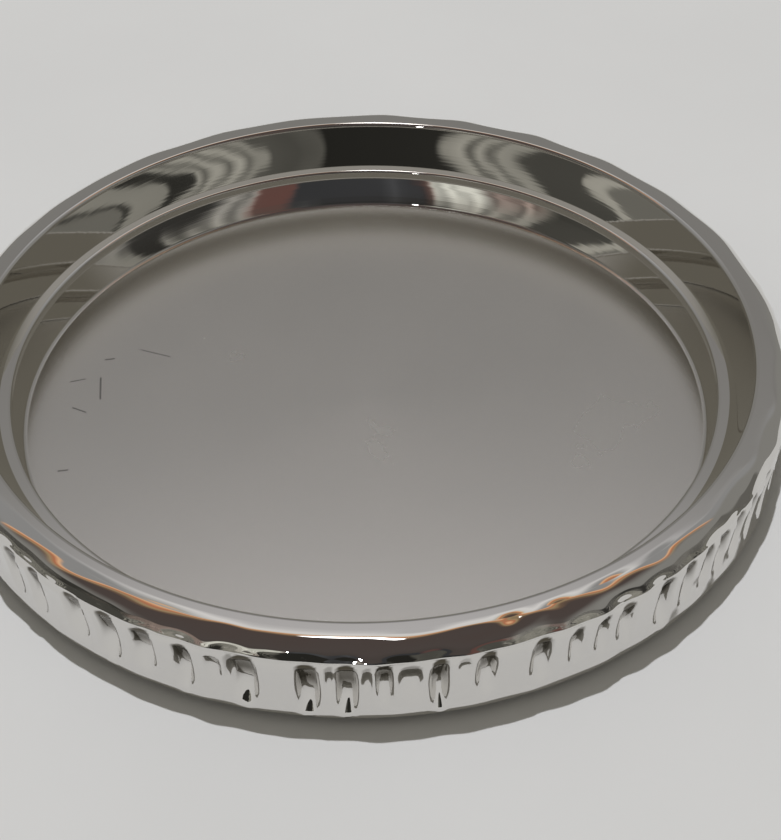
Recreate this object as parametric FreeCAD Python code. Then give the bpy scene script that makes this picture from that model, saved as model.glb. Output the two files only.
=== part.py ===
import FreeCAD, Part
import math
import os

# Round offering plate in polished sheet steel, in millimetres.
# The origin is at the centre of the resting plane and +Z is up, along the plate's axis.
# Every profile below is a half section, written as (distance from the axis, height).

# Driving dimensions
OVERALL_DIAMETER = 305.0     # over the crests of the fluted skirt
RIM_HEIGHT = 34.4            # top of the rim above the resting plane
MOUTH_RADIUS = 138.9         # bowl's mouth, where the upper wall meets the lip
LEDGE_HEIGHT = 17.4          # top of the ledge halfway up the bowl
LEDGE_OUTER_RADIUS = 132.4   # foot of the upper wall
SHEET = 0.9                  # thickness of both pressings

# Inner dish
FLOOR_CORNER_RADIUS = 126.3  # where the floor and the lower wall would meet without their rounding
FLOOR_FILLET = 1.8           # inside radius between the floor and the lower wall
LOWER_WALL_TOP = (132.2, 13.2)  # where the lower wall turns in under the ledge
UNDERCUT_RADIUS = 0.6        # inside radius of that turn
NOSE_RADIUS = 128.2          # inner edge of the ledge, which stands out over the lower wall
NOSE_ROUNDING = 1.1          # rounding of the nose, above and below
FLANGE_RADIUS = 136.3        # the ledge runs on as a flange under the upper wall

# Rim and skirt
LIP_RADIUS = 1.5             # rounding from the upper wall to the flat of the rim
ROLL_START_RADIUS = 144.8    # the flat of the rim ends here and its broad outer roll begins
ROLL_ACROSS = 7.9            # half width of the roll's ellipse
ROLL_DOWN = 10.6             # half height of the roll's ellipse
ROLL_ANGLES = (90, 30)       # start and end of the roll on its ellipse, in degrees
CREST_HEIGHT = 21.0          # height where the skirt is widest
SKIRT_SWELL = 2.0            # exponent of the skirt's curve above its widest place
SKIRT_TUCK = 2.2             # exponent of the skirt's curve below it
SKIRT_EDGE_RADIUS = 150.6    # bottom edge of the skirt
SKIRT_EDGE_HEIGHT = 4.8      # centre of the hem's roll above the resting plane
HEM_RADIUS = 1.2             # outside radius of the hem that folds the edge inwards
HEM_TAIL = 2.4               # length of the tail inside the hem
HEM_BULGE = 0.2              # how far the skirt stands out over the hem, as a share of its radius

# Flutes
FLUTES = 96                  # pockets pressed into the skirt
FLUTE_DEPTH = 3.0            # deepest pocket, just below the rim's roll
POCKET_DROP = 1.5            # from the end of the roll down to the deepest place of a pocket
POCKET_RISE = 4.0            # exponent of a pocket's depth above that place
POCKET_FADE = 1.5            # exponent of a pocket's depth below it
RIM_SHARE = 0.02             # share of the depth that reaches the start of the roll
HEM_SHARE = 0.06             # share of the depth that reaches the hem
RIDGE_SHARPNESS = 2          # exponent that narrows the ridges between the pockets
# Waves round the plate, each as (waves per turn, size, phase in radians)
SPACING_WAVES = ((5, 0.90, 0.7), (11, 0.72, 2.1), (19, 0.54, 0.0))
DEPTH_WAVES = ((7, 0.14, 1.3), (23, 0.08, 0.0))
MEAN_DEPTH_SHARE = 0.78      # mean depth of the pockets, as a share of the deepest
POLES_PER_FLUTE = 6
SKIRT_STEPS = 14
ARC_STEPS = 6
ROLL_STEPS = 10
WALL_STEPS = 5
FLAT_STEPS = 2

# Brazed seam
BRAZE_LEG = 2.0              # leg of the fillet of filler metal behind the upper wall

SEW_TOLERANCE = 1.0e-4
AXIS_POINT = FreeCAD.Vector(0, 0, 0)
AXIS = FreeCAD.Vector(0, 0, 1)


def section_point(point):
    """A half-section point as a vector in the XZ plane."""
    return FreeCAD.Vector(point[0], 0, point[1])


def unit(start, end):
    """Unit direction from one half-section point to another."""
    length = math.dist(start, end)
    return ((end[0] - start[0]) / length, (end[1] - start[1]) / length)


def shifted_corners(corners, distance):
    """The corners of a bent line after each of its runs moves to its left by a distance."""
    runs = [unit(a, b) for a, b in zip(corners, corners[1:])]
    normals = [(-run[1], run[0]) for run in runs]
    result = []
    for index, corner in enumerate(corners):
        before = normals[max(index - 1, 0)]
        after = normals[min(index, len(normals) - 1)]
        scale = distance / (1 + before[0] * after[0] + before[1] * after[1])
        result.append((corner[0] + scale * (before[0] + after[0]),
                       corner[1] + scale * (before[1] + after[1])))
    return result


def bent_line(corners, radii):
    """Edges along straight runs, with a tangent arc of the given radius at each inner corner."""
    edges = []
    last = corners[0]
    for index, radius in enumerate(radii, start=1):
        corner = corners[index]
        run_in = unit(corners[index - 1], corner)
        run_out = unit(corner, corners[index + 1])
        turn = math.atan2(run_in[0] * run_out[1] - run_in[1] * run_out[0],
                          run_in[0] * run_out[0] + run_in[1] * run_out[1])
        setback = radius * math.tan(abs(turn) / 2)
        start = (corner[0] - setback * run_in[0], corner[1] - setback * run_in[1])
        end = (corner[0] + setback * run_out[0], corner[1] + setback * run_out[1])
        side = math.copysign(1, turn)
        centre = (start[0] - side * radius * run_in[1], start[1] + side * radius * run_in[0])
        reach = math.hypot(corner[0] - centre[0], corner[1] - centre[1])
        middle = (centre[0] + radius * (corner[0] - centre[0]) / reach,
                  centre[1] + radius * (corner[1] - centre[1]) / reach)
        edges.append(Part.makeLine(section_point(last), section_point(start)))
        edges.append(Part.Arc(section_point(start), section_point(middle), section_point(end)).toShape())
        last = end
    edges.append(Part.makeLine(section_point(last), section_point(corners[-1])))
    return edges


def bent_sheet(corners, radii, turns, thickness):
    """Revolved sheet whose upper face has the given corners; turns are +1 for a left turn."""
    far_corners = shifted_corners(corners, -thickness)
    far_radii = [radius + turn * thickness for radius, turn in zip(radii, turns)]
    near = bent_line(corners, radii)
    far = bent_line(far_corners, far_radii)
    caps = [Part.makeLine(section_point(a), section_point(b))
            for a, b in ((corners[0], far_corners[0]), (corners[-1], far_corners[-1]))]
    outline = Part.Wire(Part.__sortEdges__(near + far + caps))
    return Part.Face(outline).revolve(AXIS_POINT, AXIS, 360)


def inner_dish():
    """Floor, flared lower wall and the ledge's rounded bead, formed from one sheet."""
    corners = [(0, SHEET),
               (FLOOR_CORNER_RADIUS, SHEET),
               LOWER_WALL_TOP,
               (NOSE_RADIUS, LOWER_WALL_TOP[1]),
               (NOSE_RADIUS, LEDGE_HEIGHT),
               (FLANGE_RADIUS, LEDGE_HEIGHT)]
    radii = [FLOOR_FILLET, UNDERCUT_RADIUS, NOSE_ROUNDING, NOSE_ROUNDING]
    return bent_sheet(corners, radii, [1, 1, -1, -1], SHEET)


def arc_points(centre, across, up, start, end, steps):
    """Points along an ellipse of a half section with the given half axes, between two angles in degrees."""
    angles = [math.radians(start + (end - start) * step / steps) for step in range(steps + 1)]
    return [(centre[0] + across * math.cos(angle), centre[1] + up * math.sin(angle))
            for angle in angles]


def shell_section():
    """Outer face of the rim and skirt, from the foot of the upper wall to the hem's tail."""
    wall = [(LEDGE_OUTER_RADIUS + (MOUTH_RADIUS - LEDGE_OUTER_RADIUS) * step / WALL_STEPS,
             LEDGE_HEIGHT + (RIM_HEIGHT - LIP_RADIUS - LEDGE_HEIGHT) * step / WALL_STEPS)
            for step in range(WALL_STEPS)]
    lip = arc_points((MOUTH_RADIUS + LIP_RADIUS, RIM_HEIGHT - LIP_RADIUS), LIP_RADIUS, LIP_RADIUS,
                     180, 90, ARC_STEPS)
    flat = [(lip[-1][0] + (ROLL_START_RADIUS - lip[-1][0]) * step / FLAT_STEPS, RIM_HEIGHT)
            for step in range(1, FLAT_STEPS)]
    roll = arc_points((ROLL_START_RADIUS, RIM_HEIGHT - ROLL_DOWN), ROLL_ACROSS, ROLL_DOWN,
                      *ROLL_ANGLES, ROLL_STEPS)
    return wall + lip + flat + roll + skirt_points(roll[-1]) + hem_points()


def skirt_points(top):
    """The skirt swells from the rim's roll to its widest place, then draws in to its edge."""
    crest = OVERALL_DIAMETER / 2
    points = []
    for step in range(1, SKIRT_STEPS):
        height = top[1] + (SKIRT_EDGE_HEIGHT - top[1]) * step / SKIRT_STEPS
        if height > CREST_HEIGHT:
            share = (height - CREST_HEIGHT) / (top[1] - CREST_HEIGHT)
            radius = crest - (crest - top[0]) * share ** SKIRT_SWELL
        else:
            share = (CREST_HEIGHT - height) / (CREST_HEIGHT - SKIRT_EDGE_HEIGHT)
            radius = crest - (crest - SKIRT_EDGE_RADIUS - HEM_RADIUS * HEM_BULGE) * share ** SKIRT_TUCK
        points.append((radius, height))
    return points


def hem_points():
    """The bottom edge turns inwards through a tight roll and ends in a short tail."""
    centre = (SKIRT_EDGE_RADIUS - HEM_RADIUS, SKIRT_EDGE_HEIGHT)
    turn = arc_points(centre, HEM_RADIUS, HEM_RADIUS, 0, -90, ARC_STEPS)
    return turn + [(centre[0] - HEM_TAIL, SKIRT_EDGE_HEIGHT - HEM_RADIUS)]


def flute_weight(point):
    """How strongly the flutes press into the outer face at a point of the half section."""
    radius, height = point
    if radius < ROLL_START_RADIUS:
        return 0.0
    roll_end = RIM_HEIGHT - ROLL_DOWN + ROLL_DOWN * math.sin(math.radians(ROLL_ANGLES[1]))
    full = roll_end - POCKET_DROP
    if height > full:
        share = (RIM_HEIGHT - height) / (RIM_HEIGHT - full)
        return RIM_SHARE + (1 - RIM_SHARE) * share ** POCKET_RISE
    share = (full - height) / (full - SKIRT_EDGE_HEIGHT)
    return HEM_SHARE + (1 - HEM_SHARE) * max(1.0 - share, 0.0) ** POCKET_FADE


def waves(angle, table):
    """Sum of a table of waves at an angle round the plate."""
    return sum(size * math.sin(count * angle + phase) for count, size, phase in table)


def flute_press(angle):
    """Share of the full flute depth at an angle round the plate: 0 on a ridge, up to 1 in a pocket."""
    phase = FLUTES * angle + waves(angle, SPACING_WAVES)
    ridge = ((1 + math.cos(phase)) / 2) ** RIDGE_SHARPNESS
    return (MEAN_DEPTH_SHARE + waves(angle, DEPTH_WAVES)) * (1 - ridge)


def section_normals(points):
    """Unit normals of a half section, pointing to the right of its direction."""
    normals = []
    for index in range(len(points)):
        before = points[max(index - 1, 0)]
        after = points[min(index + 1, len(points) - 1)]
        along = unit(before, after)
        normals.append((along[1], -along[0]))
    return normals


def shell_skin(points, normals, weights, depth):
    """Face through the half section turned round the axis, pushed inwards by depth and the flutes."""
    columns = FLUTES * POLES_PER_FLUTE
    grid = []
    for column in range(columns):
        angle = 2 * math.pi * column / columns
        press = FLUTE_DEPTH * flute_press(angle)
        row = []
        for (radius, height), normal, weight in zip(points, normals, weights):
            push = depth + press * weight
            across = radius + push * normal[0]
            row.append(FreeCAD.Vector(across * math.cos(angle), across * math.sin(angle),
                                      height + push * normal[1]))
        grid.append(row)
    surface = Part.BSplineSurface()
    spans = len(points) - 3
    surface.buildFromPolesMultsKnots(grid,
                                     [1] * (columns + 1), [4] + [1] * (spans - 1) + [4],
                                     list(range(columns + 1)), list(range(spans + 1)),
                                     True, False, 3, 3)
    return surface.toShape()


def end_ring(skin, other, first):
    """The cut edge of the sheet, between the same ends of its two faces."""
    rings = []
    for face in (skin, other):
        closed = [edge for edge in face.Edges if edge.isClosed()]
        closed.sort(key=lambda edge: edge.CenterOfMass.z)
        rings.append(closed[-1] if first else closed[0])
    return Part.makeRuledSurface(rings[0], rings[1])


def fluted_shell():
    """Upper wall, lip, flat rim and fluted skirt, formed from one sheet ring."""
    points = shell_section()
    normals = section_normals(points)
    normals[0] = (1.0 / abs(normals[0][0]), 0.0)
    weights = [flute_weight(point) for point in points]
    outer = shell_skin(points, normals, weights, 0.0)
    inner = shell_skin(points, normals, weights, SHEET)
    faces = [outer, inner, end_ring(outer, inner, True), end_ring(outer, inner, False)]
    skin = Part.makeCompound(faces)
    skin.sewShape(SEW_TOLERANCE)
    solid = Part.Solid(skin.Shells[0])
    if solid.Volume < 0:
        solid.reverse()
    return solid


def seam_braze():
    """Fillet of filler metal that joins the back of the upper wall to the dish's flange."""
    rise = RIM_HEIGHT - LIP_RADIUS - LEDGE_HEIGHT
    lean = (MOUTH_RADIUS - LEDGE_OUTER_RADIUS) / rise
    back = LEDGE_OUTER_RADIUS + SHEET * math.hypot(1, lean)
    corners = [(back, LEDGE_HEIGHT),
               (back + BRAZE_LEG, LEDGE_HEIGHT),
               (back + BRAZE_LEG * lean, LEDGE_HEIGHT + BRAZE_LEG)]
    outline = Part.makePolygon([section_point(corner) for corner in corners + corners[:1]])
    return Part.Face(outline).revolve(AXIS_POINT, AXIS, 360)


os.makedirs("parts", exist_ok=True)
for node, make in (("inner_dish", inner_dish), ("fluted_shell", fluted_shell), ("seam_braze", seam_braze)):
    shape = make()
    shape.exportStep("parts/" + node + ".step")
    box = shape.BoundBox
    print(node, "valid", shape.isValid(), "solids", len(shape.Solids), "volume mm3", round(shape.Volume, 1),
          "x", round(box.XMin, 2), round(box.XMax, 2), "z", round(box.ZMin, 2), round(box.ZMax, 2))
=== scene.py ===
import math
import random

import bpy
import numpy as np
from mathutils import Matrix, Vector


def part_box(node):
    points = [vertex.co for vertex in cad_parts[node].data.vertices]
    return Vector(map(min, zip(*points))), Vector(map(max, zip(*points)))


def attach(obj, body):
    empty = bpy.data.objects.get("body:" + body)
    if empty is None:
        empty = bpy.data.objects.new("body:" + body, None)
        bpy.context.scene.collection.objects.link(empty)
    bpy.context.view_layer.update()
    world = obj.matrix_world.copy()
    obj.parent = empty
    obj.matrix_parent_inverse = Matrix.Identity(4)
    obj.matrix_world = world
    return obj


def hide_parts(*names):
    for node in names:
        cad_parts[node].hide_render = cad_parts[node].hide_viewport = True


# Looks of the round offering plate: polished sheet steel, on a plain pale floor.
# Lengths are in metres. Half sections are (distance from the axis, height) and turn round +Z.
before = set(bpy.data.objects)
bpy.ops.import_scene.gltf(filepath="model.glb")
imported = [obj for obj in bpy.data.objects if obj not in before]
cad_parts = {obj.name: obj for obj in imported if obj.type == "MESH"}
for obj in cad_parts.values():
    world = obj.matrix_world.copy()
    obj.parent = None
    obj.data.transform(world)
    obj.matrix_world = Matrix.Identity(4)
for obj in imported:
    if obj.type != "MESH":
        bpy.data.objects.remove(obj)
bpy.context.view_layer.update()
MM = 0.001

# Sizes read from the frame
dish_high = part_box("inner_dish")[1]
shell_low, shell_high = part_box("fluted_shell")
RIM_TOP = shell_high.z                 # top of the rim
LEDGE_TOP = dish_high.z                # top of the ledge halfway up the bowl
FLANGE_RADIUS = dish_high.x            # the ledge's hidden outer edge
SKIRT_LIMIT = min(shell_high.x, shell_high.y, -shell_low.x, -shell_low.y)

# Bowl
SHEET = 0.9 * MM
FLOOR_CORNER = 126.3 * MM              # where floor and lower wall would meet without their rounding
FLOOR_FILLET = 1.8 * MM
LOWER_WALL_TOP = (132.2 * MM, 13.2 * MM)
UNDERCUT_RADIUS = 0.6 * MM
NOSE_RADIUS = 128.2 * MM               # inner edge of the ledge's bead
NOSE_ROUNDING = 1.1 * MM
WALL_FOOT_RADIUS = 132.4 * MM          # foot of the upper wall, on the ledge
MOUTH_RADIUS = 138.9 * MM              # top of the upper wall
LIP_RADIUS = 1.5 * MM
SATIN_RADIUS = 126.4 * MM              # the floor's satin finish ends here

# Rim and skirt
ROLL_START_RADIUS = 144.8 * MM         # the flat of the rim ends here and its outer roll begins
ROLL_ACROSS = 7.9 * MM                 # half axes of the roll's ellipse
ROLL_DOWN = 10.6 * MM
ROLL_END_ANGLE = 30.0                  # where the roll meets the skirt, as degrees of the ellipse
CREST_RADIUS = 152.0 * MM              # widest place of the smooth skirt
CREST_HEIGHT = 26.0 * MM
EDGE_RADIUS = 150.6 * MM               # foot of the skirt, above its flare
EDGE_FLARE = 1.0 * MM                  # how far the bottom edge flares out
FLARE_SHARPNESS = 4
EDGE_HEIGHT = 4.6 * MM
HEM_RADIUS = 0.8 * MM
HEM_TAIL = 2.4 * MM

# Mesh density
CLOSE_ROWS = 0.15 * MM                 # gap to the next row at the ends of a straight stretch
CLOSE_SHARE = 0.1                      # but at most this share of the stretch
DISH_COLUMNS = 480
SHELL_COLUMNS = 600
SKIRT_COLUMNS = 1200
INSIDE_RUNS = (20, 6, 1, 1, 4)         # rows along the dish's straight runs and round its bends
INSIDE_BENDS = (12, 6, 8, 8)
OUTSIDE_RUNS = (6, 2, 1, 1, 1)
OUTSIDE_BENDS = (8, 4, 3, 3)
WALL_ROWS = 2
LIP_ROWS = 12
FLAT_ROWS = 4
ROLL_ROWS = 24
SKIRT_ROWS = 27
SKIRT_ROW_SPREAD = 1.5
HEM_ANGLES = (-30, -60, -90)
INNER_ROW_STEP = 3                     # the inner face has one row for this many outside

# Flutes
ARCH_DROP = 1.4 * MM                   # how much lower an arch is at its sides than in its middle
POCKET_ROUNDING = 3.0                  # exponents of a pocket's shape from side to side
POCKET_SQUARENESS = 0.55
POCKET_FALL = 0.8                      # exponent of a pocket's fall to its deepest place
POCKET_POINT = 0.35                    # how much shorter a pocket is at its sides than in its middle
POCKET_SHORTEST = 0.2                  # but never shorter than this
POCKET_RETURN = 9.0 * MM               # height over which the sheet comes out again below a pocket
POCKET_EASE = 1.1                      # exponent of that return
POCKET_BEND = 0.12                     # rounding of a pocket's deepest place, as a share of its length
POCKET_SKEW = 0.25                     # how far a pocket leans to one side
RIM_SINK = 0.3 * MM                    # the uneven roll lies this much inside the even one
BROW_WAVE = 0.45 * MM                  # how far the brow wanders up and down
BROW_UNEVEN = 0.32 * MM                # and in and out
BROW_REACH = 2.6 * MM
BROW_BEAD = 0.16 * MM                  # sharp bead along the brow
BROW_BEAD_WIDTH = 0.8 * MM
BROW_STEP = 0.3 * MM                   # small step under the roll, all the way round
BROW_ONSET = 0.5 * MM
BROW_FADE = 3.0 * MM
WANDER_PLACE = 10.0                    # place on the brow's swell that gives its up-and-down wave
# Unevenness: size, fewest and most waves round the plate, and how many are added up
RIM_SWELL = (0.32 * MM, 9, 34, 14)
BROW_SWELL = (1.0, 24, 80, 12)
SKIRT_SWELL = (0.08 * MM, 20, 60, 12)
EDGE_SWELL = (0.22 * MM, 14, 60, 10)
SWELL_SIZES = (0.5, 1.0)
SWELL_DRIFT = 0.12                     # radians that a wave moves round over DRIFT_REACH along the section
DRIFT_REACH = 10                       # millimetres
# Lengths of section over which unevenness comes and goes: the rim's first from the roll's start,
# and the others from the brow
RIM_UNEVEN = (-1.0 * MM, 4 * MM)
RIM_EVEN_AGAIN = 3 * MM
SKIRT_UNEVEN = 8 * MM
EDGE_UNEVEN = 12 * MM
# Pockets across the front: azimuth, width, depth, top below the brow, length
FRONT_POCKETS = (
    (-136.4, 7.0, 3.0, 0.2, 12.0),
    (-131.9, 6.0, 3.4, 0.0, 13.0),
    (-125.2, 8.0, 3.4, 0.2, 12.0),
    (-120.4, 7.5, 3.6, 0.2, 14.0),
    (-115.5, 8.0, 3.2, 0.6, 12.0),
    (-110.5, 6.0, 3.6, 1.2, 13.0),
    (-106.7, 5.0, 1.6, 2.2, 6.0),
    (-103.0, 8.0, 4.2, 0.6, 15.0),
    (-104.8, 2.6, 1.6, 0.4, 10.0),
    (-95.8, 7.2, 3.9, 0.6, 16.0),
    (-93.4, 3.0, 1.4, 0.8, 9.0),
    (-91.4, 6.6, 4.0, 0.4, 16.5),
    (-89.2, 3.0, 1.4, 1.0, 9.0),
    (-87.2, 5.5, 3.2, 0.4, 12.0),
    (-84.2, 7.0, 1.9, 0.8, 8.0),
    (-81.0, 5.2, 4.2, 0.2, 16.0),
    (-78.2, 4.0, 1.0, 0.8, 5.0),
    (-75.5, 6.0, 3.2, 0.4, 12.0),
    (-68.9, 6.5, 3.2, 1.0, 12.0),
    (-64.5, 4.5, 2.6, 1.4, 10.0),
    (-60.9, 4.5, 2.6, 1.2, 10.0),
    (-57.5, 6.0, 3.0, 0.8, 11.0),
    (-51.5, 6.5, 4.0, 0.4, 14.0),
    (-47.6, 5.5, 3.4, 0.2, 12.0),
    (-44.0, 5.0, 3.0, 0.2, 11.0),
    (-40.8, 5.5, 3.4, 0.0, 12.0),
    (-37.0, 6.0, 3.4, 0.0, 12.0),
    (-33.2, 5.0, 3.0, 0.0, 11.0),
    (-28.4, 6.0, 3.4, 0.0, 12.0),
)
FRONT_GAPS = (5, 4)                    # degrees from the front pockets to the others, at either end
# Limits of those others: width, depth, top, length and skew
POCKET_LIMITS = ((5.0, 8.5), (2.6, 4.1), (0.0, 1.0), (10.0, 15.0), (0.1, 0.4))
POCKET_SPACING = (3.4, 6.4)            # degrees
# Small pockets beside some of them: width, depth, top and length
SMALL_LIMITS = ((2.5, 3.5), (0.8, 1.5), (0.2, 1.0), (5.0, 7.0))
SMALL_CHANCE = 0.35
SMALL_OFFSET = 2.3                     # degrees
# Dents in the rim's roll: azimuth, place along the section from the brow, length, breadth, depth
RIM_DENTS = (
    (-72.4, -8.2, 9.0, 4.5, 0.60),
    (-77.0, -6.6, 14.0, 4.0, 0.40),
    (-66.5, -8.4, 10.0, 4.5, 0.45),
    (-59.0, -8.4, 15.0, 5.0, 0.50),
    (-51.0, -8.6, 14.0, 5.0, 0.30),
    (-98.0, -4.0, 12.0, 5.0, -0.30),
    (-105.5, -6.5, 10.0, 3.5, 0.35),
    (-113.0, -8.2, 26.0, 4.5, 0.30),
    (-124.0, -8.2, 30.0, 4.5, 0.35),
    (-135.0, -8.2, 24.0, 4.5, 0.30),
)

# Finish, and the painted shade in the pockets
# Painted shade: the steel's colour is darkened under each pocket's arch, fading downwards and to the sides,
# in place of the dark reflection of the shadow under the plate
PAINTED_SHADE_DEPTH = 3.2 * MM               # pockets at least this deep get the full painted shade
PAINTED_SHADE_COLOUR = (0.10, 0.088, 0.066)
PAINTED_SHADE_SIDES = (0.72, 0.95)           # where it fades out, as shares of a pocket's half width
PAINTED_SHADE_ONSET = 0.6 * MM
PAINTED_SHADE_FADE = (0.5, 1.05)             # and as shares of its length
STEEL_COLOUR = (0.76, 0.745, 0.72)
BRAZE_COLOUR = (0.62, 0.60, 0.55)
WALL_ROUGHNESS = 0.02
FLOOR_ROUGHNESS = 0.26
FLOOR_BRUSHING = 0.12                  # share of the floor's roughness that runs round the axis
BRAZE_ROUGHNESS = 0.45
NOISE_RANGE = (0.3, 0.7)               # what a noise mostly covers
HAZE_SCALE = 24.0
HAZE_DETAIL = 4.0
HAZE_SPREAD = (0.7, 1.4)               # shares of the roughness
POLISH_FINENESS = 900.0                # lines of the polish and of the floor's brushing
POLISH_STRENGTH = 0.08
CLOUD_SCALE = 16.0
CLOUD_DETAIL = 6.0
CLOUD_SPREAD = (0.93, 1.07)
BRUSH_FINENESS = 1400.0
BRUSH_STRENGTH = 0.04
BRUSH_TONES = (0.99, 1.01)
LINE_DEPTH = 0.02 * MM
LINE_DETAIL = 3.0
SCRATCH_TONE = 0.45                    # how dark a scratch is in its middle
SCRATCH_CORE = 0.4                     # share of its width that is fully dark
# Scratches on the dish's floor: start, end, width, in millimetres
SCRATCHES = (
    ((-101.0, 11.0), (-99.5, -1.0), 0.5),
    ((-109.0, -6.0), (-104.0, -8.5), 0.45),
    ((-88.0, 28.0), (-76.0, 23.5), 0.35),
    ((-112.0, 9.0), (-107.0, 10.5), 0.4),
    ((-100.5, 22.0), (-97.5, 22.5), 0.5),
    ((-109.0, -40.0), (-106.0, -39.5), 0.5),
)

# Room seen in the polish, as light colours
FLOOR_REACH = 4.0
FLOOR_CLOUD_SCALE = 6.0
FLOOR_TONES = ((0.735, 0.735, 0.745), (0.765, 0.765, 0.775))
AMBIENT = (0.275, 0.263, 0.228)        # soft light that reaches the floor from all round
BACKDROP = (0.62, 0.62, 0.63)
SIDE_LIGHT = (0.255, 0.25, 0.235)
# From the horizon behind the plate, over the top, to the horizon behind the viewer, in degrees
ROOM_ARCH = ((0, (0.23, 0.225, 0.21)),
             (32, (0.24, 0.235, 0.225)),
             (38, (0.235, 0.228, 0.22)),
             (44, (0.27, 0.265, 0.258)),
             (50, (0.52, 0.51, 0.515)),
             (56, (0.79, 0.775, 0.77)),
             (64, (0.74, 0.73, 0.72)),
             (67, (0.62, 0.60, 0.50)),
             (69.5, (0.85, 0.50, 0.28)),
             (72.5, (0.50, 0.19, 0.10)),
             (76, (0.38, 0.28, 0.16)),
             (80, (0.17, 0.11, 0.075)),
             (85, (0.085, 0.066, 0.06)),
             (140, (0.085, 0.07, 0.065)),
             (180, (0.05, 0.045, 0.04)))
PALE_SIDES = (0.15, 0.34)              # sideways directions over which the arch's pale part grows dull
PALE_END = 67                          # degrees
DULL_LEVEL = 0.30
ARCH_SIDES = (-0.78, 0.62)             # the dark part of the arch lies between these sideways directions
ARCH_BLEND = 0.12
BAND_ENDS = (104.0, 100.0)             # the walls end between these directions
BAND_FADE = 3.0
# Walls of the room behind the viewer, by direction from straight back, in degrees (grey levels)
LOW_BAND = ((-104, 0.16), (-88, 0.16), (-86, 0.40), (-80, 0.38), (-78, 0.07), (-55, 0.065), (-52, 0.28),
            (-47, 0.32), (-44, 0.12), (-40, 0.38), (-36, 0.09), (-33, 0.38), (-29, 0.28), (-26, 0.025),
            (13, 0.02), (16, 0.10), (22, 0.075), (33, 0.09), (36, 0.30), (40, 0.14), (44, 0.42),
            (48, 0.12), (52, 0.42), (56, 0.12), (60, 0.34), (62, 0.03), (69, 0.03), (71, 0.24),
            (84, 0.26), (86, 0.05), (88, 0.05), (90, 0.16))
HIGH_BAND = ((-104, 0.16), (-87, 0.16), (-84, 0.035), (-57, 0.045), (-54, 0.22), (-51, 0.10), (-48, 0.42),
             (-45, 0.14), (-42, 0.34), (-39, 0.10), (-36, 0.5), (-33, 0.9), (-30, 0.5), (-28, 0.9),
             (-25, 0.45), (-22, 0.6), (-20, 0.10), (-17, 0.05), (-12, 0.06), (-8, 0.08), (-3, 0.05),
             (22, 0.045), (25, 0.10), (34, 0.10), (37, 0.36), (41, 0.13), (45, 0.40), (49, 0.14),
             (52, 0.035), (72, 0.04), (75, 0.28), (86, 0.14))
# Tint of the lower band, and of the higher one by the same direction
LOW_TINT = (1.0, 0.97, 0.85)
BAND_TINTS = ((-104, (1.0, 0.965, 0.88)), (-56, (1.0, 0.965, 0.82)), (-52, (1.15, 0.88, 0.76)),
              (-40, (1.12, 0.88, 0.78)), (-36, (1.0, 1.0, 0.90)), (-22, (1.0, 1.0, 0.90)),
              (-19, (1.30, 0.80, 0.70)), (-16, (0.92, 0.94, 1.0)), (22, (0.92, 0.94, 1.0)),
              (25, (1.40, 0.70, 0.60)), (34, (1.35, 0.72, 0.62)), (37, (1.0, 0.965, 0.88)))
BAND_REACH = 120.0
BAND_SPLIT = (17.6, 9.0, 80.0)         # elevation between the bands straight back, its fall, and by where
BAND_TOP = 26.0
SPLIT_BLEND = 0.4
BAND_WARP = 3.0                        # how far the stripes wander, in degrees
WARP_SCALE = 9.0
BAND_BOW = 0.13                        # how far the stripes bow in and out of line, again and again upwards
BOW_SPACING = 2.4                      # degrees of elevation from one bow to the next
LAMP_FROM = (-17.0, 22.0)              # small lamp behind the viewer: direction and elevation in degrees
LAMP_SIZE = 1.3
LAMP_STRENGTH = 60.0
KEY_STRENGTH = 1.75
KEY_COLOUR = (0.975, 0.985, 1.0)
KEY_ANGLE = 1.0
GLINT_ANGLE = 4.5                      # size and brightness of the key light in the polish
GLINT_STRENGTH = 10.0
TWICE_REFLECTED = (0.178, 0.168, 0.142)   # even light where steel is seen in steel
TWICE_ABOVE = (0.41, 0.40, 0.38)       # the same, from overhead
OVERHEAD = (0.62, 0.78)                # sines of the elevations where overhead begins
SECOND_BOUNCE = 2.5                    # the ray depth is over this once steel has been met twice
KEY_FROM = (-0.042, 0.19, 1.0)

# Camera
CAMERA_PLACE = (0.00928, -0.42574, 0.37006)
CAMERA_TILT = 48.0881
CAMERA_ROLL = -0.5432
CAMERA_LENS = 64.286

dice = random.Random(7)


def span(start, end, steps):
    """Evenly spaced values from start to end, without the end."""
    return [start + (end - start) * step / steps for step in range(steps)]


def line(start, end, steps):
    """Points along a straight stretch of a half section, close together at both ends, without its end."""
    close = min(CLOSE_ROWS / math.dist(start, end), CLOSE_SHARE)
    shares = [0.0, close] + span(0, 1, steps)[1:] + [1 - close]
    return [(start[0] + (end[0] - start[0]) * share, start[1] + (end[1] - start[1]) * share)
            for share in shares]


def arc(centre, radius, start, end, steps, radius_z=None):
    """Points along an arc of a half section, between angles in degrees, without its end."""
    radius_z = radius_z or radius
    return [(centre[0] + radius * math.cos(math.radians(angle)),
             centre[1] + radius_z * math.sin(math.radians(angle)))
            for angle in span(start, end, steps)]


def section_normals(points):
    """Unit normals to the right of a half section's direction, into the sheet, as two arrays."""
    across, up = np.array(points).T
    along = np.stack([np.gradient(across), np.gradient(up)])
    along /= np.hypot(*along)
    return along[1], -along[0]


def ring(radii, heights, columns):
    """One closed row of points round the axis."""
    angles = np.arange(columns) * 2 * math.pi / columns
    radii = np.broadcast_to(radii, columns)
    heights = np.broadcast_to(heights, columns)
    return np.stack([radii * np.cos(angles), radii * np.sin(angles), heights], 1)


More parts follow.
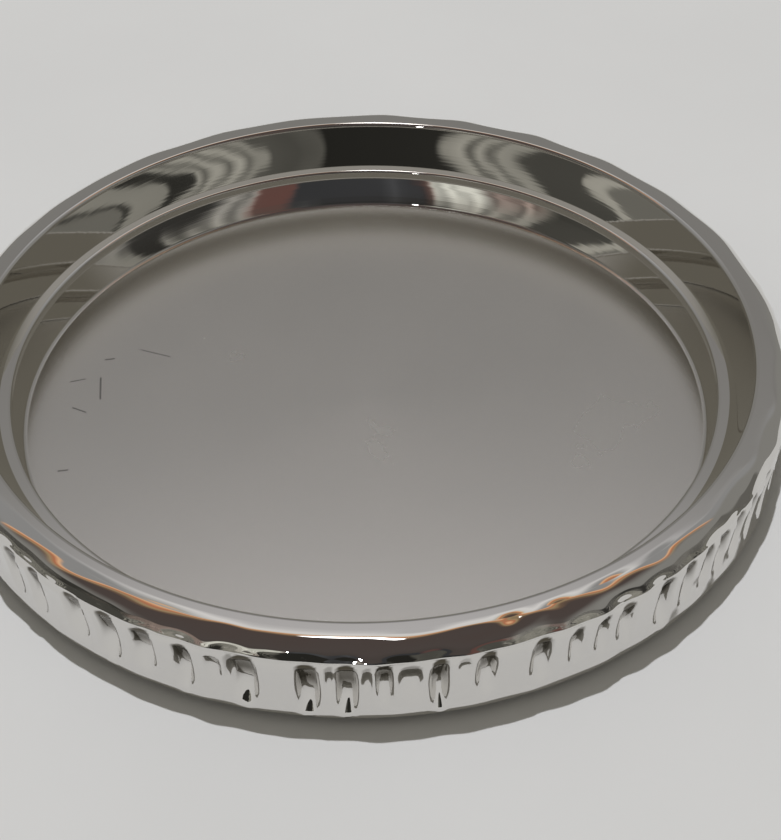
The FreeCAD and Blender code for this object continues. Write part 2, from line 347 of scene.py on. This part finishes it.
def bridge(lower, upper):
    """Faces between two closed rows of vertex indices; one row may have twice as many as the other."""
    faces = []
    if len(lower) == len(upper):
        for i in range(len(lower)):
            j = (i + 1) % len(lower)
            faces.append((lower[i], lower[j], upper[j], upper[i]))
        return faces
    coarse, fine, turned = (lower, upper, False) if len(lower) < len(upper) else (upper, lower, True)
    for i in range(len(coarse)):
        j = (i + 1) % len(coarse)
        a, b, c = fine[2 * i], fine[2 * i + 1], fine[(2 * i + 2) % len(fine)]
        for face in ((coarse[i], b, a), (coarse[i], coarse[j], b), (coarse[j], c, b)):
            faces.append(face[::-1] if turned else face)
    return faces


def turned_mesh(name, rows, closed):
    """Smooth mesh from rows of points round the axis. A row of one point is a pole on the axis."""
    indices = []
    count = 0
    for row in rows:
        indices.append(list(range(count, count + len(row))))
        count += len(row)
    pairs = list(zip(indices, indices[1:]))
    if closed:
        pairs.append((indices[-1], indices[0]))
    faces = []
    for lower, upper in pairs:
        if len(lower) == 1:
            faces += [(lower[0], upper[(i + 1) % len(upper)], upper[i]) for i in range(len(upper))]
        elif len(upper) == 1:
            faces += [(lower[i], lower[(i + 1) % len(lower)], upper[0]) for i in range(len(lower))]
        else:
            faces += bridge(lower, upper)
    mesh = bpy.data.meshes.new(name)
    mesh.from_pydata(np.concatenate(rows).tolist(), [], faces)
    mesh.polygons.foreach_set("use_smooth", [True] * len(mesh.polygons))
    mesh.validate()
    mesh.update()
    piece = bpy.data.objects.new(name, mesh)
    bpy.context.scene.collection.objects.link(piece)
    return piece


# Inner dish ------------------------------------------------------------------------------------

def unit(start, end):
    """Unit direction from one point of a half section to another."""
    length = math.dist(start, end)
    return ((end[0] - start[0]) / length, (end[1] - start[1]) / length)


def shifted(corners, distance):
    """Corners of a bent line after each of its runs moves to its left by a distance."""
    runs = [unit(a, b) for a, b in zip(corners, corners[1:])]
    normals = [(-run[1], run[0]) for run in runs]
    result = []
    for index, corner in enumerate(corners):
        before = normals[max(index - 1, 0)]
        after = normals[min(index, len(normals) - 1)]
        scale = distance / (1 + before[0] * after[0] + before[1] * after[1])
        result.append((corner[0] + scale * (before[0] + after[0]),
                       corner[1] + scale * (before[1] + after[1])))
    return result


def bent(corners, radii, run_steps, arc_steps):
    """Points along straight runs with a rounded bend at each inner corner."""
    points = []
    last = corners[0]
    for index, radius in enumerate(radii, start=1):
        corner = corners[index]
        run_in = unit(corners[index - 1], corner)
        run_out = unit(corner, corners[index + 1])
        turn = math.atan2(run_in[0] * run_out[1] - run_in[1] * run_out[0],
                          run_in[0] * run_out[0] + run_in[1] * run_out[1])
        setback = radius * math.tan(abs(turn) / 2)
        start = (corner[0] - setback * run_in[0], corner[1] - setback * run_in[1])
        side = math.copysign(1, turn)
        centre = (start[0] - side * radius * run_in[1], start[1] + side * radius * run_in[0])
        first = math.degrees(math.atan2(start[1] - centre[1], start[0] - centre[0]))
        points += line(last, start, run_steps[index - 1])
        points += arc(centre, radius, first, first + math.degrees(turn), arc_steps[index - 1])
        last = (corner[0] + setback * run_out[0], corner[1] + setback * run_out[1])
    return points + line(last, corners[-1], run_steps[-1]) + [corners[-1]]


def make_dish():
    """Floor, lower wall and the ledge's bead: one bent sheet turned round the axis."""
    corners = [(0.0, SHEET), (FLOOR_CORNER, SHEET), LOWER_WALL_TOP, (NOSE_RADIUS, LOWER_WALL_TOP[1]),
               (NOSE_RADIUS, LEDGE_TOP), (FLANGE_RADIUS, LEDGE_TOP)]
    radii = [FLOOR_FILLET, UNDERCUT_RADIUS, NOSE_ROUNDING, NOSE_ROUNDING]
    turns = [1, 1, -1, -1]
    outer_radii = [radius + turn * SHEET for radius, turn in zip(radii, turns)]
    inside = bent(corners, radii, INSIDE_RUNS, INSIDE_BENDS)
    outside = bent(shifted(corners, -SHEET), outer_radii, OUTSIDE_RUNS, OUTSIDE_BENDS)
    rows = [np.array([[0.0, 0.0, SHEET]])]
    rows += [ring(radius, height, DISH_COLUMNS) for radius, height in inside[1:]]
    rows += [ring(radius, height, DISH_COLUMNS) for radius, height in outside[:0:-1]]
    rows.append(np.array([[0.0, 0.0, 0.0]]))
    dish = turned_mesh("inner_dish_polished", [row[::-1] for row in rows], closed=False)
    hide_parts("inner_dish")
    return dish


# Fluted shell ----------------------------------------------------------------------------------

class Pocket:
    """A pocket pressed into the skirt, open below and arched above."""

    def __init__(self, azimuth, width, depth, top, length, skew=POCKET_SKEW):
        self.azimuth = math.radians(azimuth)
        self.width = width * MM
        self.depth = depth * MM
        self.top = top * MM
        self.length = length * MM
        self.skew = skew

    def lean(self, angles):
        """Places across the pocket, from -1 to 1 between its sides."""
        offset = (angles - self.azimuth + math.pi) % (2 * math.pi) - math.pi
        across = offset * CREST_RADIUS / (self.width / 2)
        return across / (1 - self.skew * np.sign(across))

    def press(self, angles, below):
        """How far the pocket pushes the sheet in, at angles round the plate and a depth below the brow."""
        leaned = self.lean(angles)
        inside = np.clip(1 - np.abs(leaned) ** POCKET_ROUNDING, 0, 1) ** POCKET_SQUARENESS
        arch_top = self.top + ARCH_DROP * leaned ** 2
        length = self.length * np.clip(1 - POCKET_POINT * leaned ** 2, POCKET_SHORTEST, 1)
        fall = np.clip((below - arch_top) / length, 0, 2) ** POCKET_FALL
        back = np.clip(1 - (below - arch_top - length) / POCKET_RETURN, 0, 1) ** POCKET_EASE
        rounding = np.sqrt((fall - back) ** 2 + POCKET_BEND ** 2)
        rest = 1 - math.sqrt(1 + POCKET_BEND ** 2)
        profile = 0.5 * (fall + back - rounding - rest)
        return self.depth * inside * np.clip(profile, 0, 1)

    def painted_shade(self, angles, below):
        """How much painted shade the pocket gets: full under its arch, fading out downwards."""
        leaned = self.lean(angles)
        inside = 1 - smooth(np.abs(leaned), *PAINTED_SHADE_SIDES)
        arch_top = self.top + ARCH_DROP * leaned ** 2
        under = smooth(below, arch_top, arch_top + PAINTED_SHADE_ONSET)
        first, last = PAINTED_SHADE_FADE
        fade = 1 - smooth(below, arch_top + self.length * first, arch_top + self.length * last)
        return inside * under * fade * min(1.0, self.depth / PAINTED_SHADE_DEPTH)


def make_pockets():
    """The front pockets as they are, and the rest of the round with the same kind of uneven spacing."""
    pockets = [Pocket(*row) for row in FRONT_POCKETS]
    azimuth = FRONT_POCKETS[-1][0] + FRONT_GAPS[0]
    while azimuth < FRONT_POCKETS[0][0] + 360 - FRONT_GAPS[1]:
        pockets.append(Pocket(azimuth, *[dice.uniform(*limits) for limits in POCKET_LIMITS]))
        if dice.random() < SMALL_CHANCE:
            small = [dice.uniform(*limits) for limits in SMALL_LIMITS]
            pockets.append(Pocket(azimuth - SMALL_OFFSET, *small))
        azimuth += dice.uniform(*POCKET_SPACING)
    return pockets


class Swell:
    """Unevenness of hand-finished sheet: a sum of long waves round the plate."""

    def __init__(self, size, least, most, count):
        self.waves = []
        for _ in range(count):
            turns = dice.randint(least, most)
            phase = dice.uniform(0, 2 * math.pi)
            drift = dice.uniform(-SWELL_DRIFT, SWELL_DRIFT)
            self.waves.append((turns, phase, drift, size * dice.uniform(*SWELL_SIZES) / math.sqrt(count)))

    def at(self, angles, place):
        """Height of the waves; place is a distance along the section, in millimetres."""
        total = np.zeros_like(angles)
        for turns, phase, drift, size in self.waves:
            total += size * np.sin(turns * angles + phase + drift * turns * place / DRIFT_REACH)
        return total


class Dent:
    """A shallow oval dent in the rim, worked out from its middle."""

    def __init__(self, azimuth, along, length, breadth, depth):
        self.azimuth = math.radians(azimuth)
        self.along = along * MM
        self.length = length * MM
        self.breadth = breadth * MM
        self.depth = depth * MM

    def press(self, angles, below):
        """How far the dent pushes the sheet in."""
        offset = (angles - self.azimuth + math.pi) % (2 * math.pi) - math.pi
        across = offset * CREST_RADIUS / (self.length / 2)
        down = (below - self.along) / (self.breadth / 2)
        return self.depth * np.exp(-(across ** 2 + down ** 2))


def smooth(value, low, high):
    """0 below low, 1 above high, and a smooth step between."""
    share = np.clip((value - low) / (high - low), 0, 1)
    return share * share * (3 - 2 * share)


def shell_profile():
    """Outer face of the shell as points, with the indices where the flat, the roll and the skirt start."""
    lip_centre = (MOUTH_RADIUS + LIP_RADIUS, RIM_TOP - LIP_RADIUS)
    roll_centre = (ROLL_START_RADIUS, RIM_TOP - ROLL_DOWN)
    wall = line((WALL_FOOT_RADIUS, LEDGE_TOP), (MOUTH_RADIUS, lip_centre[1]), WALL_ROWS)
    lip = arc(lip_centre, LIP_RADIUS, 180, 90, LIP_ROWS)
    flat = line((lip_centre[0], RIM_TOP), (ROLL_START_RADIUS, RIM_TOP), FLAT_ROWS)
    roll = arc(roll_centre, ROLL_ACROSS, 90, ROLL_END_ANGLE, ROLL_ROWS, ROLL_DOWN)
    end = math.radians(ROLL_END_ANGLE)
    brow = (roll_centre[0] + ROLL_ACROSS * math.cos(end), roll_centre[1] + ROLL_DOWN * math.sin(end))
    skirt = []
    for step in range(SKIRT_ROWS + 1):
        height = brow[1] + (EDGE_HEIGHT - brow[1]) * (step / SKIRT_ROWS) ** SKIRT_ROW_SPREAD
        if height > CREST_HEIGHT:
            share = (height - CREST_HEIGHT) / (brow[1] - CREST_HEIGHT)
            skirt.append((CREST_RADIUS - (CREST_RADIUS - brow[0]) * share ** 2, height))
        else:
            share = (CREST_HEIGHT - height) / (CREST_HEIGHT - EDGE_HEIGHT)
            flare = EDGE_FLARE * share ** FLARE_SHARPNESS
            skirt.append((EDGE_RADIUS + (CREST_RADIUS - EDGE_RADIUS) * (1 - share) ** 2 + flare, height))
    even_part = wall + lip
    roll_index = len(even_part) + len(flat)
    return even_part + flat + roll + skirt, len(even_part), roll_index, roll_index + len(roll)


def shell_press(angles, below, rim_share):
    """How far the sheet is pushed in along its normal at one row of the section, and how much painted shade
    it gets.
    """
    press = np.zeros_like(angles)
    painted_shade_amount = np.zeros_like(angles)
    if rim_share > 0:
        press += rim_share * (RIM_SINK - rim_swell.at(angles, below / MM))
        for dent in dents:
            press += dent.press(angles, below)
    press += BROW_UNEVEN * brow_swell.at(angles, 0.0) * math.exp(-(below / BROW_REACH) ** 2)
    wandered = below + BROW_WAVE * brow_swell.at(angles, WANDER_PLACE)
    press -= BROW_BEAD * np.exp(-(wandered / BROW_BEAD_WIDTH) ** 2)
    if below > 0:
        press += BROW_STEP * smooth(below, 0, BROW_ONSET) * math.exp(-below / BROW_FADE)
        press -= skirt_swell.at(angles, below / MM) * smooth(below, 0, SKIRT_UNEVEN)
    for pocket in pockets:
        press += pocket.press(angles, wandered)
        painted_shade_amount = np.maximum(painted_shade_amount, pocket.painted_shade(angles, wandered))
    return press, painted_shade_amount


def make_shell():
    """Upper wall, lip, flat, roll and fluted skirt: one sheet, with its hem folded inwards."""
    points, uneven_from, roll_index, brow_index = shell_profile()
    across, up = section_normals(points)
    steps = np.hypot(*np.diff(np.array(points), axis=0).T)
    along = np.concatenate([[0.0], np.cumsum(steps)])
    below = along - along[brow_index]
    rows = []
    inner = []
    painted_shade_rows = []
    for index, (radius, height) in enumerate(points):
        fine = index >= uneven_from
        columns = SKIRT_COLUMNS if fine else SHELL_COLUMNS
        angles = np.arange(columns) * 2 * math.pi / columns
        press = np.zeros(columns)
        painted_shade_amount = np.zeros(columns)
        if fine:
            rim_share = float(smooth(below[index] - below[roll_index], *RIM_UNEVEN))
            rim_share *= 1 - float(smooth(below[index], 0, RIM_EVEN_AGAIN))
            press, painted_shade_amount = shell_press(angles, below[index], rim_share)
        painted_shade_rows.append(painted_shade_amount)
        edge_lift = edge_swell.at(angles, 0.0) * float(smooth(below[index], EDGE_UNEVEN, below[-1]))
        radii = np.minimum(radius + press * across[index], SKIRT_LIMIT)
        heights = np.minimum(height + press * up[index] + edge_lift, RIM_TOP)
        rows.append(ring(radii, heights, columns))
        back_radii = radii + SHEET * across[index]
        back_heights = heights + SHEET * up[index]
        if fine:
            beside = np.minimum(np.roll(back_radii, 1), np.roll(back_radii, -1))
            back_radii = np.minimum(back_radii, beside)
            back_radii = back_radii[::2]
            back_heights = back_heights[::2]
        if index % INNER_ROW_STEP == 0:
            inner.append(ring(back_radii, back_heights, SHELL_COLUMNS))
    edge = rows[-1]
    edge_radii = np.hypot(edge[:, 0], edge[:, 1])
    edge_heights = edge[:, 2]
    for angle in HEM_ANGLES:
        turn = math.radians(angle)
        rows.append(ring(edge_radii - HEM_RADIUS * (1 - math.cos(turn)),
                         edge_heights + HEM_RADIUS * math.sin(turn), SKIRT_COLUMNS))
    for inset, rise in ((HEM_TAIL, 0), (HEM_TAIL, SHEET), (SHEET, SHEET)):
        rows.append(ring((edge_radii - HEM_RADIUS - inset)[::2],
                         (edge_heights - HEM_RADIUS + rise)[::2], SHELL_COLUMNS))
    rows += [row for row in reversed(inner) if row[:, 2].min() > edge_heights.max() + SHEET]
    shell = turned_mesh("fluted_shell_polished", [row[::-1] for row in rows], closed=True)
    painted_shade_rows += [np.zeros(len(row)) for row in rows[len(painted_shade_rows):]]
    # Painted shade in the pockets, kept as a point attribute that darkens the steel's colour
    painted_shade = shell.data.attributes.new("painted_shade", "FLOAT", "POINT")
    painted_shade.data.foreach_set("value", np.concatenate([painted_shade_amount[::-1] for painted_shade_amount in painted_shade_rows]))
    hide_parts("fluted_shell")
    return shell


# Materials -------------------------------------------------------------------------------------

class Nodes:
    """Small helper that adds linked shader nodes to a material or the world."""

    def __init__(self, owner):
        owner.use_nodes = True
        self.tree = owner.node_tree
        self.tree.nodes.clear()

    def add(self, kind, inputs=None, **settings):
        """A node with its settings, and with each input linked or set."""
        node = self.tree.nodes.new(kind)
        for key, value in settings.items():
            setattr(node, key, value)
        for key, value in (inputs or {}).items():
            if isinstance(value, bpy.types.NodeSocket):
                self.tree.links.new(value, node.inputs[key])
            else:
                node.inputs[key].default_value = value
        return node

    def math(self, operation, first, second=0.0):
        """Result of one sum on two values."""
        return self.add("ShaderNodeMath", {0: first, 1: second}, operation=operation).outputs[0]

    def ramp(self, factor, stops):
        """Colour along stops of (place from 0 to 1, colour)."""
        node = self.add("ShaderNodeValToRGB", {"Fac": factor})
        elements = node.color_ramp.elements
        while len(elements) < len(stops):
            elements.new(0.5)
        for element, (place, colour) in zip(elements, stops):
            element.position = place
            element.color = (*colour, 1)
        return node.outputs[0]

    def step(self, value, low, high):
        """0 below low, 1 above high, and a smooth step between."""
        return self.add("ShaderNodeMapRange", {0: value, 1: low, 2: high},
                        interpolation_type="SMOOTHSTEP").outputs[0]

    def noise(self, place, scale, detail):
        """Soft noise, mostly within NOISE_RANGE."""
        return self.add("ShaderNodeTexNoise", {"Vector": place, "Scale": scale, "Detail": detail}).outputs[0]

    def spread(self, noise, low, high):
        """A noise stretched to run from low to high."""
        first, last = NOISE_RANGE
        return self.add("ShaderNodeMapRange", {0: noise, 1: first, 2: last, 3: low, 4: high}).outputs[0]

    def mix(self, factor, first, second):
        """Colour between two colours."""
        node = self.add("ShaderNodeMix", {"Factor": factor}, data_type="RGBA")
        for socket, value in ((node.inputs[6], first), (node.inputs[7], second)):
            if isinstance(value, bpy.types.NodeSocket):
                self.tree.links.new(value, socket)
            else:
                socket.default_value = (*value, 1)
        return node.outputs[2]

    def turned_lines(self, place, fineness):
        """Noise in fine lines round the axis, as lathe polishing leaves them."""
        split = self.add("ShaderNodeSeparateXYZ", {0: place}).outputs
        radius = self.math("SQRT", self.math("ADD", self.math("MULTIPLY", split[0], split[0]),
                                             self.math("MULTIPLY", split[1], split[1])))
        rings = self.add("ShaderNodeCombineXYZ", {"X": radius, "Y": split[2]}).outputs[0]
        return self.noise(rings, fineness, LINE_DETAIL)

    def scratch(self, place, start, end, width):
        """1 away from a short scratch between two points in millimetres, and darker along it."""
        way = unit(start, end)
        offset = self.add("ShaderNodeVectorMath", {0: place, 1: (start[0] * MM, start[1] * MM, 0)},
                          operation="SUBTRACT").outputs[0]
        along = self.add("ShaderNodeVectorMath", {0: offset, 1: (way[0], way[1], 0)},
                         operation="DOT_PRODUCT").outputs["Value"]
        across = self.add("ShaderNodeVectorMath", {0: offset, 1: (-way[1], way[0], 0)},
                          operation="DOT_PRODUCT").outputs["Value"]
        length = math.dist(start, end) * MM
        from_middle = self.math("ABSOLUTE", self.math("SUBTRACT", along, length / 2))
        beyond = self.math("SUBTRACT", from_middle, length / 2)
        gap = self.math("MAXIMUM", self.math("ABSOLUTE", across), beyond)
        fade = self.step(gap, width * MM * SCRATCH_CORE, width * MM)
        return self.math("ADD", SCRATCH_TONE, self.math("MULTIPLY", fade, 1 - SCRATCH_TONE))


def polished_steel(name, roughness, colour=STEEL_COLOUR):
    """Mirror-polished sheet: faint haze, fine polishing lines round the axis."""
    material = bpy.data.materials.new(name)
    nodes = Nodes(material)
    place = nodes.add("ShaderNodeTexCoord").outputs["Object"]
    haze = nodes.noise(place, HAZE_SCALE, HAZE_DETAIL)
    rough = nodes.spread(haze, *(roughness * share for share in HAZE_SPREAD))
    bump = nodes.add("ShaderNodeBump", {"Height": nodes.turned_lines(place, POLISH_FINENESS),
                                        "Strength": POLISH_STRENGTH, "Distance": LINE_DEPTH}).outputs[0]
    # Painted shade: the colour darkens where the mesh marks the pockets' arches
    painted_shade = nodes.add("ShaderNodeAttribute", attribute_name="painted_shade").outputs["Fac"]
    tone = nodes.mix(painted_shade, colour, PAINTED_SHADE_COLOUR)
    shader = nodes.add("ShaderNodeBsdfPrincipled", {"Base Color": tone, "Metallic": 1.0,
                                                    "Roughness": rough, "Normal": bump})
    nodes.add("ShaderNodeOutputMaterial", {"Surface": shader.outputs[0]})
    return material


def satin_steel(name):
    """Satin floor: brushed round the axis, with worn clouds and a few dark scratches."""
    material = bpy.data.materials.new(name)
    nodes = Nodes(material)
    place = nodes.add("ShaderNodeTexCoord").outputs["Object"]
    cloud = nodes.noise(place, CLOUD_SCALE, CLOUD_DETAIL)
    rough = nodes.spread(cloud, *(FLOOR_ROUGHNESS * share for share in CLOUD_SPREAD))
    lines = nodes.turned_lines(place, BRUSH_FINENESS)
    bump = nodes.add("ShaderNodeBump", {"Height": lines, "Strength": BRUSH_STRENGTH,
                                        "Distance": LINE_DEPTH}).outputs[0]
    tone = nodes.spread(lines, *BRUSH_TONES)
    for start, end, width in SCRATCHES:
        tone = nodes.math("MULTIPLY", tone, nodes.scratch(place, start, end, width))
    colour = nodes.add("ShaderNodeVectorMath", {0: STEEL_COLOUR, "Scale": tone},
                       operation="SCALE").outputs[0]
    tangent = nodes.add("ShaderNodeTangent", direction_type="RADIAL", axis="Z").outputs[0]
    shader = nodes.add("ShaderNodeBsdfPrincipled", {"Base Color": colour, "Metallic": 1.0,
                                                    "Roughness": rough, "Tangent": tangent,
                                                    "Anisotropic": FLOOR_BRUSHING,
                                                    "Anisotropic Rotation": 0.25, "Normal": bump})
    nodes.add("ShaderNodeOutputMaterial", {"Surface": shader.outputs[0]})
    return material


# Floor, light and camera -----------------------------------------------------------------------

def make_floor():
    """Plain pale floor under the plate."""
    mesh = bpy.data.meshes.new("floor")
    corners = ((-1, -1), (1, -1), (1, 1), (-1, 1))
    mesh.from_pydata([(x * FLOOR_REACH, y * FLOOR_REACH, 0.0) for x, y in corners], [], [(0, 1, 2, 3)])
    floor = bpy.data.objects.new("floor", mesh)
    bpy.context.scene.collection.objects.link(floor)
    material = bpy.data.materials.new("pale_floor")
    nodes = Nodes(material)
    place = nodes.add("ShaderNodeTexCoord").outputs["Object"]
    cloud = nodes.noise(place, FLOOR_CLOUD_SCALE, CLOUD_DETAIL)
    colour = nodes.ramp(cloud, list(zip(NOISE_RANGE, FLOOR_TONES)))
    shader = nodes.add("ShaderNodeBsdfPrincipled", {"Base Color": colour, "Roughness": 1.0,
                                                    "Specular IOR Level": 0.0})
    nodes.add("ShaderNodeOutputMaterial", {"Surface": shader.outputs[0]})
    mesh.materials.append(material)


def band(nodes, turn, stops):
    """Colour of one band of the room's walls, by direction in degrees from straight back."""
    share = nodes.math("ADD", nodes.math("DIVIDE", turn, 2 * BAND_REACH), 0.5)
    return nodes.ramp(share, [(0.5 + degrees / (2 * BAND_REACH), colour) for degrees, colour in stops])


def greys(stops):
    """The same stops with their grey levels as colours."""
    return [(degrees, (level, level, level)) for degrees, level in stops]


def with_spot(nodes, room, way, place, size, strength):
    """The room with a round bright spot in the direction of place; its size is in degrees."""
    toward = nodes.add("ShaderNodeVectorMath", {0: way, 1: place}, operation="DOT_PRODUCT").outputs["Value"]
    inside = nodes.step(toward, math.cos(math.radians(size)), math.cos(math.radians(size / 2)))
    return nodes.mix(inside, room, (strength, strength, strength))


def background(nodes, colour):
    """Background light of one colour, or of a colour that varies with direction."""
    return nodes.add("ShaderNodeBackground", {"Color": colour, "Strength": 1.0}).outputs[0]


def room_walls(nodes, way, turn, elevation):
    """Two bands of bowed and wandering stripes, one above the other."""
    middle, fall, place = BAND_SPLIT
    aside = nodes.math("DIVIDE", turn, place)
    drop = nodes.math("MULTIPLY", nodes.math("MULTIPLY", aside, aside), fall)
    above = nodes.math("SUBTRACT", elevation, nodes.math("SUBTRACT", middle, drop))
    bow = nodes.math("COSINE", nodes.math("MULTIPLY", above, 2 * math.pi / BOW_SPACING))
    bowed = nodes.math("DIVIDE", turn, nodes.math("ADD", 1.0, nodes.math("MULTIPLY", bow, BAND_BOW)))
    warp = nodes.math("SUBTRACT", nodes.noise(way, WARP_SCALE, 0.0), 0.5)
    warped = nodes.math("ADD", bowed, nodes.math("MULTIPLY", warp, BAND_WARP * 2))
    high = nodes.step(above, -SPLIT_BLEND, SPLIT_BLEND)
    walls = nodes.mix(high, band(nodes, warped, greys(LOW_BAND)), band(nodes, warped, greys(HIGH_BAND)))
    tints = nodes.mix(high, LOW_TINT, band(nodes, warped, BAND_TINTS))
    return nodes.add("ShaderNodeVectorMath", {0: walls, 1: tints}, operation="MULTIPLY").outputs[0]


def make_world():
    """Room seen in the polish: pale behind the plate and at its sides, dark behind the viewer."""
    world = bpy.data.worlds.new("studio")
    bpy.context.scene.world = world
    nodes = Nodes(world)
    way = nodes.add("ShaderNodeTexCoord").outputs["Generated"]
    east, north, up = nodes.add("ShaderNodeSeparateXYZ", {0: way}).outputs
    arch_angle = nodes.math("DIVIDE", nodes.math("ARCTAN2", up, north), math.pi)
    arch = nodes.ramp(arch_angle, [(degrees / 180, colour) for degrees, colour in ROOM_ARCH])
    dull_arch = nodes.ramp(arch_angle, [
        (degrees / 180, [min(value, DULL_LEVEL) for value in colour] if degrees <= PALE_END else colour)
        for degrees, colour in ROOM_ARCH])
    arch = nodes.mix(nodes.step(nodes.math("ABSOLUTE", east), *PALE_SIDES), arch, dull_arch)
    left_edge = nodes.step(east, ARCH_SIDES[0] - ARCH_BLEND, ARCH_SIDES[0] + ARCH_BLEND)
    right_edge = nodes.step(east, ARCH_SIDES[1] - ARCH_BLEND, ARCH_SIDES[1] + ARCH_BLEND)
    inside = nodes.math("SUBTRACT", left_edge, right_edge)
    room = nodes.mix(inside, SIDE_LIGHT, arch)

    elevation = nodes.math("MULTIPLY", nodes.math("ARCSINE", up), math.degrees(1))
    south = nodes.math("MULTIPLY", north, -1.0)
    turn = nodes.math("MULTIPLY", nodes.math("ARCTAN2", east, south), math.degrees(1))
    walls = room_walls(nodes, way, turn, elevation)
    behind = nodes.step(nodes.math("ABSOLUTE", turn), *BAND_ENDS)
    low = nodes.step(elevation, BAND_TOP, BAND_TOP - BAND_FADE)
    room = nodes.mix(nodes.math("MULTIPLY", behind, low), room, walls)

    side, rise = (math.radians(value) for value in LAMP_FROM)
    lamp_way = (math.sin(side) * math.cos(rise), -math.cos(side) * math.cos(rise), math.sin(rise))
    room = with_spot(nodes, room, way, lamp_way, LAMP_SIZE, LAMP_STRENGTH)
    room = with_spot(nodes, room, way, Vector(KEY_FROM).normalized(), GLINT_ANGLE, GLINT_STRENGTH)
    path = nodes.add("ShaderNodeLightPath").outputs
    twice = nodes.mix(nodes.step(up, *OVERHEAD), TWICE_REFLECTED, TWICE_ABOVE)
    room = nodes.mix(nodes.math("GREATER_THAN", path["Ray Depth"], SECOND_BOUNCE), room, twice)

    room_light = background(nodes, room)
    plain_light = background(nodes, (*AMBIENT, 1))
    seen_light = background(nodes, (*BACKDROP, 1))
    gloss = nodes.add("ShaderNodeMixShader", {0: path["Is Glossy Ray"], 1: plain_light, 2: room_light})
    final = nodes.add("ShaderNodeMixShader", {0: path["Is Camera Ray"], 1: gloss.outputs[0], 2: seen_light})
    nodes.add("ShaderNodeOutputWorld", {"Surface": final.outputs[0]})


def make_key():
    """Key light from above, a little behind and to the left."""
    light = bpy.data.lights.new("key", "SUN")
    light.energy = KEY_STRENGTH
    light.color = KEY_COLOUR
    light.angle = math.radians(KEY_ANGLE)
    lamp = bpy.data.objects.new("key", light)
    lamp.visible_glossy = False
    x, y, z = KEY_FROM
    lamp.rotation_mode = "QUATERNION"
    lamp.rotation_quaternion = Vector((x, y, z)).to_track_quat("Z", "Y")
    bpy.context.scene.collection.objects.link(lamp)


def make_camera():
    """Camera above and in front of the plate."""
    camera = bpy.data.cameras.new("camera")
    camera.sensor_width = 36.0
    camera.lens = CAMERA_LENS
    body = bpy.data.objects.new("camera", camera)
    body.matrix_world = (Matrix.Translation(CAMERA_PLACE)
                         @ Matrix.Rotation(math.radians(CAMERA_TILT), 4, "X")
                         @ Matrix.Rotation(math.radians(CAMERA_ROLL), 4, "Z"))
    bpy.context.scene.collection.objects.link(body)
    bpy.context.scene.camera = body


# Build -----------------------------------------------------------------------------------------

pockets = make_pockets()
rim_swell = Swell(*RIM_SWELL)
brow_swell = Swell(*BROW_SWELL)
skirt_swell = Swell(*SKIRT_SWELL)
edge_swell = Swell(*EDGE_SWELL)
dents = [Dent(*row) for row in RIM_DENTS]

floor_steel = satin_steel("satin_steel")
wall_steel = polished_steel("mirror_steel", WALL_ROUGHNESS)
dish = make_dish()
dish.data.materials.append(wall_steel)
dish.data.materials.append(floor_steel)
for face in dish.data.polygons:
    middle = face.center
    face.material_index = int(math.hypot(middle.x, middle.y) < SATIN_RADIUS and middle.z > SHEET / 2)
shell = make_shell()
shell.data.materials.append(wall_steel)
braze_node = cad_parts["seam_braze"]
braze_node.data.materials.clear()
braze_node.data.materials.append(polished_steel("braze_metal", BRAZE_ROUGHNESS, BRAZE_COLOUR))
for piece, slot in ((dish, "dish_steel"), (shell, "shell_steel")):
    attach(piece, "root")

make_floor()
make_world()
make_key()
make_camera()
bpy.context.scene.view_settings.view_transform = "Standard"

bpy.context.view_layer.update()
